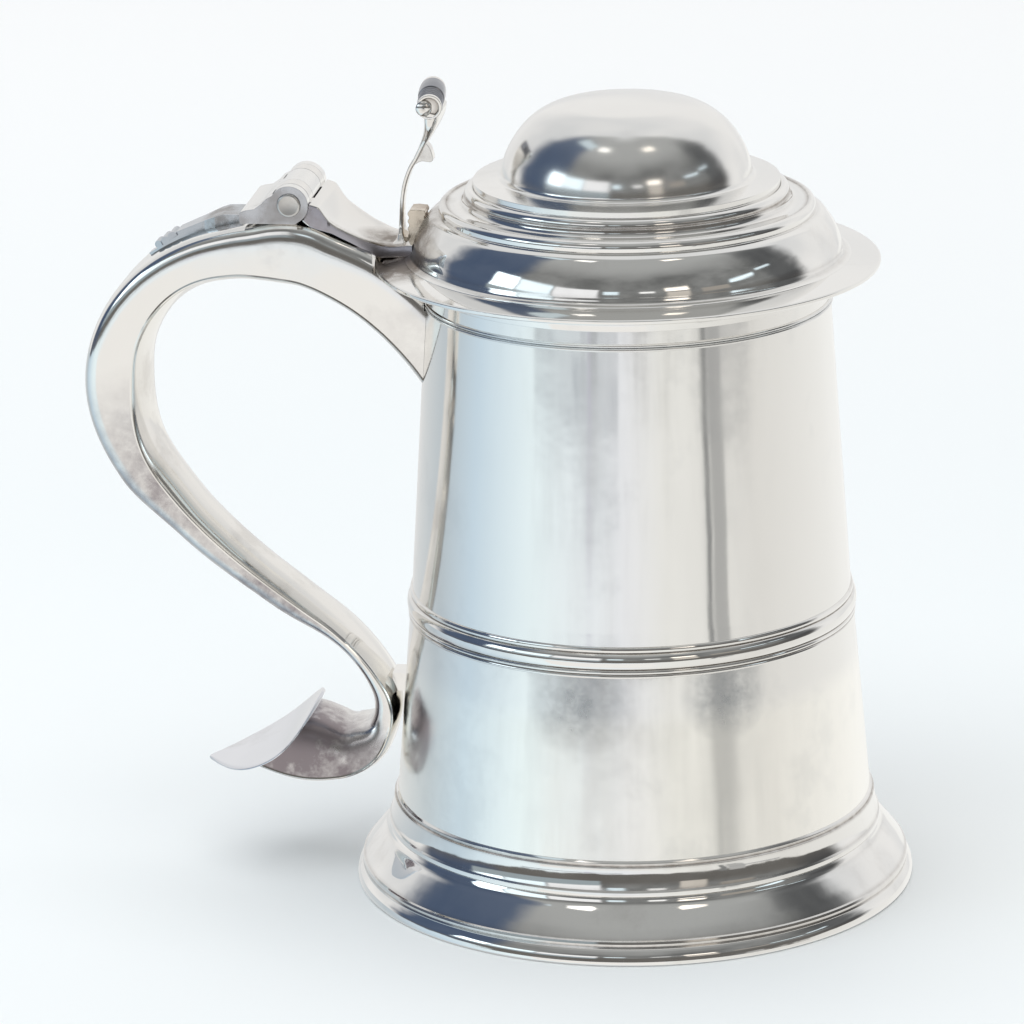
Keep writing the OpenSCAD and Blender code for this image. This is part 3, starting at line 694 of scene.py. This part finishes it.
NEAR = [(0, 4.6), (14, 3.2), (30, 2.6), (42, 3.4), (54, 5.0), (66, 3.6), (80, 3.0), (100, 3.9),
        (114, 4.7), (136, 2.8), (156, 1.4), (180, 1.2), (206, 0.7), (226, 1.9), (234, 3.8),
        (248, 5.8), (262, 4.3)]


def curve(s, table):
    """Smooth line through a table's points, with no flat spots at them."""
    i = 0
    while i < len(table) - 2 and s > table[i + 1][0]:
        i += 1
    (s0, v0), (s1, v1) = table[i], table[i + 1]
    before, after = table[max(i - 1, 0)], table[min(i + 2, len(table) - 1)]
    m0 = (v1 - before[1]) / (s1 - before[0]) * (s1 - s0)
    m1 = (after[1] - v0) / (after[0] - s0) * (s1 - s0)
    u = min(1, (s - s0) / (s1 - s0))
    return v0 + u * (m0 + u * (3 * (v1 - v0) - 2 * m0 - m1 + u * (2 * (v0 - v1) + m0 + m1)))


def handle_point(q, across, out):
    """Point of the handle's section at station q, out from its side edge."""
    o = out - curve(q[3], NEAR)
    h = math.radians(q[2])
    return Vector((q[0] + o * math.sin(h), across, q[1] - o * math.cos(h))) * MM


def back_section(s, n=56):
    """Rounded outer sheet at distance s along the handle."""
    w, k = ease(s, WIDTH) / 2, ease(s, SQUARE)
    d = ease(s, DEPTH) / 2 + curve(s, NEAR) + ease(s, SWELL)
    pts = []
    for j in range(n + 1):
        a = math.pi * j / n
        a += 0.10 * math.sin(4 * a)
        c, e = math.cos(a), math.sin(a)
        pts.append((math.copysign(w * abs(c) ** (2 / k), c), d * abs(e) ** (2 / k)))
    return pts + [(-w + 0.6, -0.5), (-w * 0.5, -0.5), (0, -0.5), (w * 0.5, -0.5), (w - 0.6, -0.5)]


def strip_section(s, n=18):
    """Inner strip, with a thin lip that stands out along both edges."""
    w, d = ease(s, WIDTH) / 2 + 0.14, ease(s, DEPTH) * ease(s, BULGE)
    low = [(t * (w - 0.1), -d * (1 - abs(t) ** 2.2) - 0.12)
           for t in [2 * j / n - 1 for j in range(n + 1)]]
    return [(w, 0.05), (w - 0.08, 0.42), (w - 0.7, 0.3), (0, 0.3), (-w + 0.7, 0.3),
            (-w + 0.08, 0.42), (-w, 0.05)] + low


def skin(rows, n):
    """Faces between neighbouring rings of n points."""
    return [(i * n + j, i * n + (j + 1) % n, (i + 1) * n + (j + 1) % n, (i + 1) * n + j)
            for i in range(rows - 1) for j in range(n)]


def sweep(name, section, path):
    """Closed solid along the handle, from one outline per station."""
    rings = [[handle_point(q, *p) for p in section(q[3])] for q in path]
    n = len(rings[0])
    verts = [v for ring in rings for v in ring]
    faces = skin(len(rings), n)
    faces += [tuple(range(n))[::-1], tuple((len(rings) - 1) * n + j for j in range(n))]
    o = mesh_object(name, verts, faces)
    fix_normals(o)
    return o


def fix_normals(o):
    """All faces outwards."""
    bm = bmesh.new()
    bm.from_mesh(o.data)
    bmesh.ops.recalc_face_normals(bm, faces=bm.faces)
    bm.to_mesh(o.data)
    bm.free()


def apply_modifiers(o):
    """Bakes the object's modifiers into its mesh."""
    bpy.context.view_layer.update()
    deps = bpy.context.evaluated_depsgraph_get()
    me = bpy.data.meshes.new_from_object(o.evaluated_get(deps))
    o.modifiers.clear()
    o.data = me


def cut(o, tool, op="DIFFERENCE"):
    """Cuts o by a tool object, or joins the tool to it."""
    mod = o.modifiers.new("cut", "BOOLEAN")
    mod.object = tool
    mod.operation = op
    mod.solver = "EXACT"
    apply_modifiers(o)
    bpy.data.objects.remove(tool)


def smooth_by_angle(o, degrees=38):
    """Smooth faces, with sharp edges where they turn more than this."""
    me = o.data
    bm = bmesh.new()
    bm.from_mesh(me)
    bmesh.ops.remove_doubles(bm, verts=bm.verts, dist=1e-6)
    for f in bm.faces:
        f.smooth = True
    for e in bm.edges:
        e.smooth = len(e.link_faces) != 2 or e.calc_face_angle(0) < math.radians(degrees)
    bm.to_mesh(me)
    bm.free()


def flatten(o, degrees=34):
    """Keeps flat faces flat in the shading, next to small worn edges."""
    smooth_by_angle(o, degrees)
    mod = o.modifiers.new("flatten", "WEIGHTED_NORMAL")
    mod.keep_sharp = True
    mod.weight = 90
    apply_modifiers(o)


def painted_shade_faces(o, mat, least=0.93):
    """A second material for the faces that look along the hinge; it gets a darker copy of the silver,
    painted shade.
    """
    o.data.materials.append(mat)
    last = len(o.data.materials) - 1
    for p in o.data.polygons:
        if abs(p.normal.y) > least:
            p.material_index = last


def raw_lathe(outline, segs=256):
    """Turned cutter with no material."""
    p = outline
    n = len(p)
    verts = [(r * math.cos(2 * math.pi * k / segs) * MM, r * math.sin(2 * math.pi * k / segs) * MM,
              z * MM) for r, z in p for k in range(segs)]
    faces = [(i * segs + k, i * segs + (k + 1) % segs, (i + 1) * segs + (k + 1) % segs,
              (i + 1) * segs + k) for i in range(n - 1) for k in range(segs)]
    faces += [tuple(range(segs))[::-1], tuple((n - 1) * segs + k for k in range(segs))]
    o = mesh_object("cutter", verts, faces)
    fix_normals(o)
    return o


SHIELD_AT, SHIELD_TURN = Vector((-88.6, 0, 30.45)), math.radians(31.5)
SHIELD_LEN, SHIELD_W, SHIELD_SAG, SHIELD_T = 34, 41, 4.45, 1.0
SHIELD_R = (SHIELD_LEN ** 2 / 4 + SHIELD_SAG ** 2) / (2 * SHIELD_SAG)


def in_shield(x, y, z):
    """From the shield's own frame to the row frame."""
    c, s = math.cos(SHIELD_TURN), math.sin(SHIELD_TURN)
    return Vector((SHIELD_AT.x + x * c - z * s, y, SHIELD_AT.z + x * s + z * c)) * MM


def shield_cutter():
    """Everything above the leaf's underside, within the leaf's length."""
    r, half = SHIELD_R - SHIELD_T * 0.2, 30
    low = [(r * math.sin(math.radians(a)), SHIELD_R - r * math.cos(math.radians(a)))
           for a in np.linspace(-half, half, 80)]
    edge = low[-1][0]
    outline = low + [(edge, 17), (-edge, 17)]
    n = len(outline)
    verts = [in_shield(x, y, z) for y in (-30, 30) for x, z in outline]
    faces = [(k, (k + 1) % n, n + (k + 1) % n, n + k) for k in range(n)]
    faces += [tuple(range(n))[::-1], tuple(range(n, 2 * n))]
    o = mesh_object("cutter", verts, faces)
    fix_normals(o)
    return o


def add_handle():
    """Outer sheet and inner strip, cut back from the drum, lip and leaf."""
    lip = 143.0
    for name, section, node, mat in (
            ("handle_outer_sheet", back_section, "handle_back", M_HANDLE),
            ("handle_inner_strip", strip_section, "handle_strip", M_STRIP)):
        o = sweep(name, section, HANDLE)
        cut(o, raw_lathe([(drum_r(98) - 0.02, 98), (drum_r(lip), lip), (drum_r(lip) + 0.6, lip),
                          (drum_r(152) + 0.6, 152.3), (60.85, 152.3), (60.85, 168)]))
        cut(o, shield_cutter())
        smooth_by_angle(o)
        finish_piece(o, "tankard", mat, [node])


def leaf(u):
    """Half width of the shield at u, from -1 at its tip to 1 at its broad end."""
    return SHIELD_W / 2 * (1 - abs(u) ** 2.95) * (1 + 0.4 * u) / 1.07


def grid_rim(nu, nv):
    """Points on the edge of a grid of (nu + 1) rows of (nv + 1) points, in order."""
    row = nv + 1
    return list(range(row)) + [i * row + nv for i in range(1, nu + 1)] \
        + [nu * row + j for j in range(nv - 1, -1, -1)] \
        + [i * row for i in range(nu - 1, 0, -1)]


def add_shield():
    """Bent leaf with thin rounded edges."""
    nu, nv = 72, 40
    verts = []
    for side in (1, -1):
        for i in range(nu + 1):
            u = math.sin(math.pi / 2 * (2 * i / nu - 1)) * 0.9995
            for j in range(nv + 1):
                v = math.sin(math.pi / 2 * (2 * j / nv - 1))
                x = u * SHIELD_LEN / 2
                y = v * leaf(u)
                edge = max(0.0, 1 - max(abs(v) ** 14, abs(u) ** 40)) ** 0.5
                t = side * SHIELD_T / 2 * edge
                a = math.asin(x / SHIELD_R)
                r = SHIELD_R - t
                verts.append(in_shield(r * math.sin(a), y, SHIELD_R - r * math.cos(a)))
    n = (nu + 1) * (nv + 1)
    faces = []
    for i in range(nu):
        for j in range(nv):
            q = [i * (nv + 1) + j, i * (nv + 1) + j + 1, (i + 1) * (nv + 1) + j + 1,
                 (i + 1) * (nv + 1) + j]
            faces += [tuple(q), tuple(n + k for k in q[::-1])]
    rim = grid_rim(nu, nv)
    for k, a in enumerate(rim):
        b = rim[(k + 1) % len(rim)]
        faces.append((a, b, n + b, n + a))
    o = mesh_object("shield_leaf", verts, faces)
    bm = bmesh.new()
    bm.from_mesh(o.data)
    bmesh.ops.remove_doubles(bm, verts=bm.verts, dist=2e-6)
    bmesh.ops.dissolve_degenerate(bm, edges=bm.edges, dist=1e-7)
    bmesh.ops.recalc_face_normals(bm, faces=bm.faces)
    for f in bm.faces:
        f.smooth = True
    bm.to_mesh(o.data)
    bm.free()
    finish_piece(o, "tankard", M_LEAF, ["handle_shield"])


add_handle()
add_shield()

# ------------------------------------------------------------------ hinge
HX, HZ, BARREL, END = -79.0, 168.8, 4.6, 13.5
KNUCKLES = (5.7, 10.3)


def plate(name, outline, y0, y1, bevel, steps=3):
    """Solid cut to an (x, z) outline, with worn edges."""
    n = len(outline)
    verts = [(x * MM, y * MM, z * MM) for y in (y0, y1) for x, z in outline]
    faces = [tuple(range(n)), tuple(range(2 * n - 1, n - 1, -1))]
    faces += [(k, (k + 1) % n, n + (k + 1) % n, n + k) for k in range(n)]
    o = mesh_object(name, verts, faces)
    fix_normals(o)
    if bevel:
        wear(o, bevel, steps)
    return o


def wear(o, bevel, steps=3, degrees=32):
    """Small rounding on every real edge."""
    mod = o.modifiers.new("wear", "BEVEL")
    mod.width = bevel * MM
    mod.segments = steps
    mod.limit_method = "ANGLE"
    mod.angle_limit = math.radians(degrees)
    mod.harden_normals = False
    apply_modifiers(o)


def roll(y0, y1, r, x=HX, z=HZ, segs=96):
    """Cutter along the hinge."""
    return plate("cutter", arc(x, z, r, 0, 360 - 360 / segs, segs - 1), y0, y1, 0)


def add_hinge():
    """Plate with its knuckles, the pin and its two hammered caps."""
    lug = [(-12.0, -4.6), (-12.1, -2.6), (-11.7, -1.75), (-10.4, -1.35), (-8.4, -1.05),
           (-6.8, 0.1), (-5.4, 1.5)]
    out = [(HX + a, HZ + b) for a, b in lug] + arc(HX, HZ, BARREL, 152, -62, 44) \
        + [(HX + 1.5, HZ - 4.6)]
    o = plate("hinge_plate_body", out, -END, END, 0)
    for side in (1, -1):
        cut(o, roll(*sorted((side * (KNUCKLES[0] - 0.12), side * (KNUCKLES[1] + 0.12))),
                    BARREL + 0.3))
    wear(o, 0.28)
    flatten(o, 50)
    finish_piece(o, "tankard", M_HINGE, ["hinge_plate"])
    # the plate's side faces get painted shade
    painted_shade_faces(o, M_SHADED_CHEEK)
    lathe("hinge_pin_rod", [(0, -13.5), (1.7, -13.5), (1.7, 13.5), (0, 13.5)], "tankard", M_PIN,
          ["hinge_pin"], 64, across=(HX, HZ))
    cap = [(0, 0.36), (1.1, 0.42), (1.9, 0.5), (2.35, 0.56, 0.3), (2.75, 0.38, 0.3), (2.9, 0, 0)]
    caps = [lathe("pin_cap_%d" % k, rounded([(r, side * (END + h), *q) for r, h, *q in cap]
                                            + [(0, side * END)], 0.1),
                  "tankard", M_PIN, [], 72, across=(HX, HZ))
            for k, side in ((0, 1), (1, -1))]
    for c in caps:
        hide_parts("pin_caps")


STRAP = [  # along, half width, underside, top edge, how far the middle is hollowed
    (-76.4, 13.3, 165.4, 169.0, 0.05), (-74.4, 13.3, 163.7, 169.0, 0.1),
    (-73.2, 13.3, 163.2, 168.75, 0.3), (-72.0, 13.2, 162.75, 168.25, 0.6),
    (-71.2, 13.1, 162.55, 167.2, 0.9), (-70.2, 12.95, 162.2, 165.7, 1.2),
    (-69.0, 12.7, 161.8, 164.3, 1.4), (-67.0, 12.2, 160.65, 162.9, 1.6),
    (-64.5, 11.3, 159.15, 161.4, 1.6), (-62.0, 10.4, 157.4, 160.1, 1.5),
    (-60.0, 9.75, 156.15, 159.3, 1.2), (-58.0, 9.2, 155.35, 158.5, 0.6),
    (-55.5, 8.8, 155.25, 157.95, 0.1), (-52.5, 8.7, 155.25, 158.15, 0.0),
    (-50.4, 8.9, 155.25, 158.3, 0.0)]


def add_strap():
    """Hollowed strap with the lid's two knuckles."""
    rows = spline(STRAP, 6)
    verts, n = [], 0
    for x, w, low, top, sag in rows:
        top = max(top, low + 0.6)
        c = min(0.35, (top - low) * 0.3)
        ring = [(-w + c * 0.5, low), (-w, low + c), (-w, top - c), (-w + c * 0.35, top - c * 0.3),
                (-w + c, top)]
        flat = [-1 + 2 * k / 30 for k in range(31)]
        ring += [(f * (w - 1.2 * c), top - sag * (1 - abs(f) ** 2.4)) for f in flat]
        ring += [(w - c, top), (w - c * 0.35, top - c * 0.3), (w, top - c), (w, low + c),
                 (w - c * 0.5, low)]
        n = len(ring)
        verts += [(x * MM, y * MM, z * MM) for y, z in ring]
    m = len(rows)
    faces = skin(m, n)
    faces += [tuple(range(n)), tuple((m - 1) * n + j for j in range(n))[::-1]]
    o = mesh_object("hinge_strap_body", verts, faces)
    fix_normals(o)
    cut(o, roll(-KNUCKLES[0], KNUCKLES[0], BARREL + 0.3))
    for side in (1, -1):
        cut(o, roll(*sorted((side * KNUCKLES[1], side * 14.5)), BARREL + 0.3))
        cut(o, roll(*sorted((side * KNUCKLES[0], side * KNUCKLES[1])), BARREL), "UNION")
    flatten(o, 40)
    finish_piece(o, "lid", M_STRAP, ["hinge_strap"])
    # the strap's side faces get painted shade
    painted_shade_faces(o, M_SHADED_WEDGE, 0.86)


def heap(name, place, size, height, seed, mat, body, node, power=3.0, drop=1.2):
    """Low uneven mound of solder with a flat underside."""
    rng = np.random.default_rng(seed)
    waves = [(rng.uniform(0.6, 2.6), rng.uniform(0.6, 2.6), rng.uniform(0, 6.3),
              rng.uniform(0.25, 1.0)) for _ in range(9)]
    nu, nv = 56, 56
    verts = []
    for i in range(nu + 1):
        for j in range(nv + 1):
            u, v = 2 * i / nu - 1, 2 * j / nv - 1
            r = max(abs(u), abs(v))
            q = math.hypot(u, v) or 1
            u, v = u * r / q, v * r / q
            bump = sum(w * math.sin(a * 3 * u + b * 3 * v + p) for a, b, p, w in waves) / 9
            fall = max(0.0, 1 - r ** power)
            verts.append(((place[0] + u * size[0]) * MM, (place[1] + v * size[1]) * MM,
                          (place[2] + (height * (0.75 + 0.55 * bump)) * fall) * MM))
    top = len(verts)
    verts += [(x, y, (place[2] - drop) * MM) for x, y, _ in verts]
    faces = []
    for i in range(nu):
        for j in range(nv):
            q = (i * (nv + 1) + j, (i + 1) * (nv + 1) + j, (i + 1) * (nv + 1) + j + 1,
                 i * (nv + 1) + j + 1)
            faces += [q, tuple(top + k for k in q[::-1])]
    rim = grid_rim(nu, nv)
    faces += [(a, rim[(k + 1) % len(rim)], top + rim[(k + 1) % len(rim)], top + a)
              for k, a in enumerate(rim)]
    o = mesh_object(name, verts, faces)
    fix_normals(o)
    smooth_by_angle(o, 50)
    return finish_piece(o, body, mat, [node])


# ------------------------------------------------------------------ thumbpiece
STEM = [  # left edge, right edge, half width
    (-55.9, 157.8, -51.7, 157.8, 6.2), (-55.3, 158.35, -52.2, 158.35, 5.4),
    (-54.85, 159.1, -52.9, 159.1, 4.5), (-54.6, 160.2, -53.35, 160.2, 3.5),
    (-54.5, 162.0, -53.4, 162.0, 2.7), (-54.2, 167.2, -53.2, 167.2, 2.2),
    (-53.45, 171.7, -52.4, 171.5, 2.3), (-52.05, 175.6, -51.05, 175.1, 2.7),
    (-50.55, 178.2, -49.5, 177.6, 3.3), (-48.8, 181.9, -47.6, 181.1, 4.5),
    (-47.8, 184.6, -46.0, 183.5, 6.1), (-47.35, 186.9, -44.6, 185.9, 7.8),
    (-47.3, 188.8, -43.75, 187.9, 8.4), (-47.2, 190.6, -43.5, 189.7, 8.5)]
ROLL_X, ROLL_Z, ROLL_R, ROLL_Y = -46.35, 192.2, 3.25, 8.75
ON_ROLL = Matrix.Translation((ROLL_X * MM, 0, ROLL_Z * MM)) \
    @ Matrix.Rotation(math.radians(4.9), 4, "Z") @ Matrix.Rotation(math.radians(3.1), 4, "X") \
    @ Matrix.Translation((-ROLL_X * MM, 0, -ROLL_Z * MM))


def add_stem():
    """Blade that widens from its foot to the roll."""
    rows = spline(STEM, 8)
    n, verts = 40, []
    for xl, zl, xr, zr, w in rows:
        for k in range(n):
            a = 2 * math.pi * k / n + 0.08
            c = math.copysign(abs(math.cos(a)) ** 0.45, math.cos(a))
            e = math.copysign(abs(math.sin(a)) ** 0.45, math.sin(a))
            verts.append((((xl + xr) / 2 + (xr - xl) / 2 * c) * MM, e * w * MM,
                          ((zl + zr) / 2 + (zr - zl) / 2 * c) * MM))
    m = len(rows)
    faces = skin(m, n)
    faces += [tuple(range(n)), tuple((m - 1) * n + j for j in range(n))[::-1]]
    o = mesh_object("thumb_stem_blade", verts, faces)
    fix_normals(o)
    smooth_by_angle(o, 55)
    finish_piece(o, "lid", M_THUMB, ["thumb_stem"])


def add_thumb_roll():
    """Reeded roll across the stem's head, with a boss at each end."""
    top = ROLL_R
    body = [(0, -8.1), (2.1, -8.1, 0.1), (2.35, -8.7, 0.2), (2.95, -ROLL_Y, 0.3),
            (top - 0.25, -8.3, 0.3), (top - 0.3, -7.3, 0.2), (top - 0.62, -6.95, 0.1)]
    for k in range(4):
        y = -6.3 + k * 1.55
        body += [(top - 0.62 + 0.4 * math.sin(a), y - 0.68 * math.cos(a))
                 for a in [math.pi * q / 8 for q in range(9)]]
    body += [(top - 0.55, -0.75, 0.1), (top - 0.12, -0.55, 0.2)] \
        + [(top - 0.12 + 0.12 * math.sin(math.pi * q / 8), -0.4 + 7.1 * q / 8)
           for q in range(1, 8)] \
        + [(top - 0.12, 6.75, 0.2), (top - 0.5, 7.0, 0.1), (top - 0.3, 7.3, 0.2),
           (top - 0.25, 8.3, 0.3), (2.95, ROLL_Y, 0.3), (2.35, 8.7, 0.2), (2.1, 8.1, 0.1),
           (0, 8.1)]
    o = lathe("thumb_scroll_roll", rounded(body, 0.1), "lid", M_ROLL, ["thumb_scroll"],
              128, 0.5, 1.0, across=(ROLL_X, ROLL_Z))
    o.data.materials.append(M_THUMB)
    for p in o.data.polygons:
        p.material_index = int(abs(p.center.y) > 7.05 * MM)
    o.data.transform(ON_ROLL)
    for k, side in ((0, -1), (1, 1)):
        o = lathe("thumb_boss_%d" % k,
                  [(r, side * y) for r, y in
                   ([(0, 9.65)] + arc(0, 8.55, 1.95, 84, 8, 12, 1.05)
                    + [(1.78, 8.1), (1.5, 7.9), (1.5, 7.2), (0, 7.2)])],
                  "lid", M_THUMB, [], 64, 0.6, across=(ROLL_X - 1.3, ROLL_Z - 0.25))
        o.data.transform(ON_ROLL)
        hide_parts("thumb_bosses")


def add_spur():
    """Bud on the stem's inner face."""
    spur = spline([(-47.75, 181.6), (-46.75, 180.4), (-46.1, 178.4), (-46.1, 177.35),
                   (-46.9, 176.95), (-48.9, 177.1), (-51.0, 175.9)], 4) + [(-49.9, 178.1)]
    o = plate("thumb_spur", spur, -1.7, 1.7, 0.45, 4)
    flatten(o, 55)
    finish_piece(o, "lid", M_THUMB, ["thumb_bud"])


def add_bracket():
    """Ribbed block behind the stem's foot."""
    block = [(-52.1, 157.4)]
    for z in (158.2, 160.0, 161.8, 163.6):
        block += [(-52.15, z), (-52.45, z + 0.35), (-52.4, z + 0.95), (-52.1, z + 1.25)]
    block += [(-51.9, 165.2), (-50.4, 165.3), (-48.3, 165.1)]
    for z in (163.6, 161.8, 160.0, 158.2):
        block += [(-48.35, z + 1.25), (-48.1, z + 0.95), (-48.15, z + 0.35), (-48.45, z)]
    block += [(-48.6, 157.4)]
    o = plate("thumb_bracket_block", block, -1.7, 4.7, 0.18, 2)
    flatten(o, 40)
    finish_piece(o, "lid", M_ROOT, ["thumb_bracket"])


add_hinge()
add_strap()
heap("strap_root_solder", (-54.6, 0, 154.3), (5.6, 12.4), 1.15, 7, M_ROOT, "lid", "strap_root",
     7.0, 0.5)
add_stem()
add_thumb_roll()
add_spur()
add_bracket()

# ------------------------------------------------------------------ CAD nodes that stay
for node, mat in {"handle_strut": M_HANDLE, "hinge_drop": M_DROP}.items():
    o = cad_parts[node]
    o.data.materials.clear()
    o.data.materials.append(mat)
